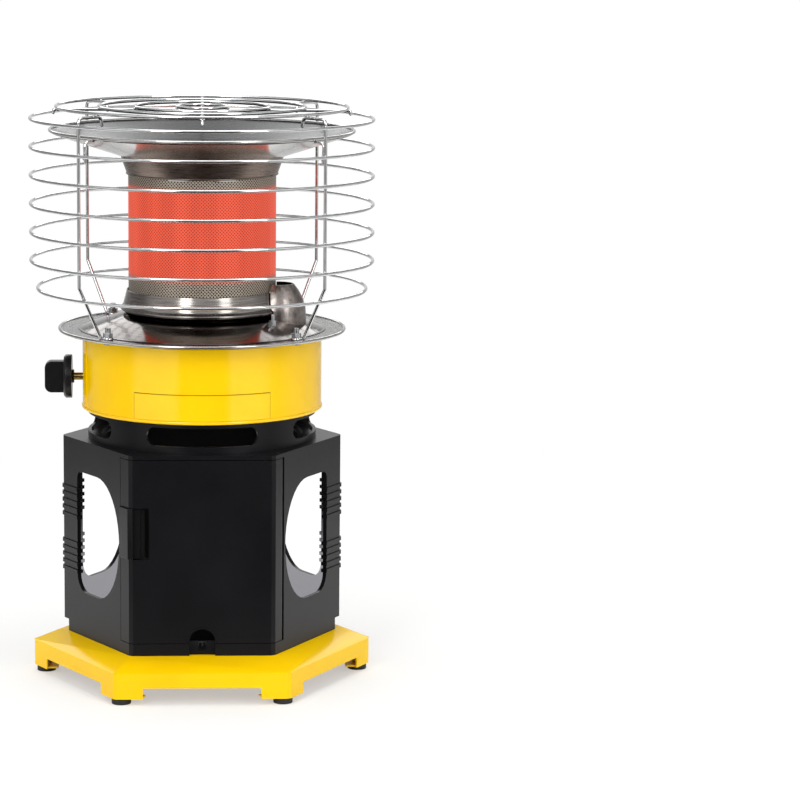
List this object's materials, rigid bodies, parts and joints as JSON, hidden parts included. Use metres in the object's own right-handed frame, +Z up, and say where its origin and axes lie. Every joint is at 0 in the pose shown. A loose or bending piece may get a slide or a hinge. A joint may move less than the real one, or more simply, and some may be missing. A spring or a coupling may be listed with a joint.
{
  "type": "portable propane heater",
  "caption": "Portable radiant propane heater: hexagonal base and body with hand openings and a door, vented collar, burner drum with knob, mesh burner, wire guard and top grate.",
  "frame": {"origin": "on the ground, in the middle of the heater", "axes": "+Z up, -Y towards the door, -X towards the knob"},
  "size_m": [0.2543, 0.2544, 0.4246],
  "materials": {
    "yellow_steel": "gloss powder coat",
    "black_plastic": "satin moulded",
    "rubber": "matte",
    "zinc": "zinc plated",
    "stainless": "polished",
    "dark_steel": "heat-darkened",
    "nickel": "smoked nickel",
    "chrome_wire": "bright plated",
    "hot_mesh": "woven wire, glowing",
    "brass": "machined",
    "zinc_casting": "die cast",
    "ceramic": "glazed ceramic",
    "copper": "drawn copper"
  },
  "bodies": {
    "root": {"base_tray": "yellow_steel", "rubber_feet": "rubber", "foot_screws": "zinc", "foot_nuts": "zinc", "cylinder_cup": "black_plastic", "cup_screws": "zinc", "body_shell": "black_plastic", "body_screws": "zinc", "hinge_pins": "zinc", "vent_collar": "black_plastic", "collar_screws": "zinc", "burner_housing": "yellow_steel", "housing_plate": "yellow_steel", "housing_screws": "zinc", "heat_pan": "stainless", "pan_cone": "stainless", "pan_bolts": "zinc", "pan_nuts": "zinc", "pan_stud": "zinc", "guard_rings": "chrome_wire", "guard_uprights": "chrome_wire", "dish_clips": "chrome_wire", "burner_bowl": "dark_steel", "burner_head": "dark_steel", "mixing_tube": "nickel", "inner_screen": "hot_mesh", "burner_mesh": "hot_mesh", "lower_reflector": "nickel", "upper_collar": "nickel", "tie_rod": "zinc", "top_reflector": "stainless", "top_dish": "dark_steel", "dish_nut": "zinc", "pilot_hood": "dark_steel", "pilot_burner": "brass", "igniter_electrode": "ceramic", "thermocouple": "copper", "pilot_pipe": "copper", "thermocouple_lead": "copper", "igniter_lead": "rubber", "regulator": "zinc_casting", "inlet_seal": "rubber", "gas_valve": "brass", "gas_jet": "brass", "valve_bracket": "zinc", "bracket_screws": "zinc", "return_spring": "zinc", "tilt_switch": "black_plastic"},
    "door": {"front_door": "black_plastic"},
    "latch": {"door_latch": "black_plastic"},
    "grate": {"top_grate": "chrome_wire"},
    "push": {"spring_cap": "zinc"},
    "knob": {"valve_stem": "brass", "control_knob": "black_plastic"},
    "pendulum": {"tilt_pendulum": "zinc"}
  },
  "joints": [
    {"name": "door_hinge", "type": "hinge", "parent": "root", "child": "door", "pos_m": [0.05475, -0.0789, 0.108], "axis": [0, 0, 1], "range_deg": [0, 90]},
    {"name": "latch_slide", "type": "slide", "parent": "door", "child": "latch", "axis": [1, 0, 0], "range_m": [0, 0.005]},
    {"name": "grate_lift", "type": "slide", "parent": "root", "child": "grate", "axis": [0, 0, 1], "range_m": [0, 0.06]},
    {"name": "knob_push", "type": "slide", "parent": "root", "child": "push", "axis": [1, 0, 0], "range_m": [0, 0.0025], "stiffness_N_per_m": 600, "springref_m": -0.004, "deforming": ["return_spring"]},
    {"name": "knob_turn", "type": "hinge", "parent": "push", "child": "knob", "pos_m": [-0.1, 0, 0.2234], "axis": [-1, 0, 0], "range_deg": [0, 180]},
    {"name": "tilt_swing", "type": "hinge", "parent": "root", "child": "pendulum", "pos_m": [0, 0.048, 0.224], "axis": [1, 0, 0], "range_deg": [-15, 15]}
  ]
}
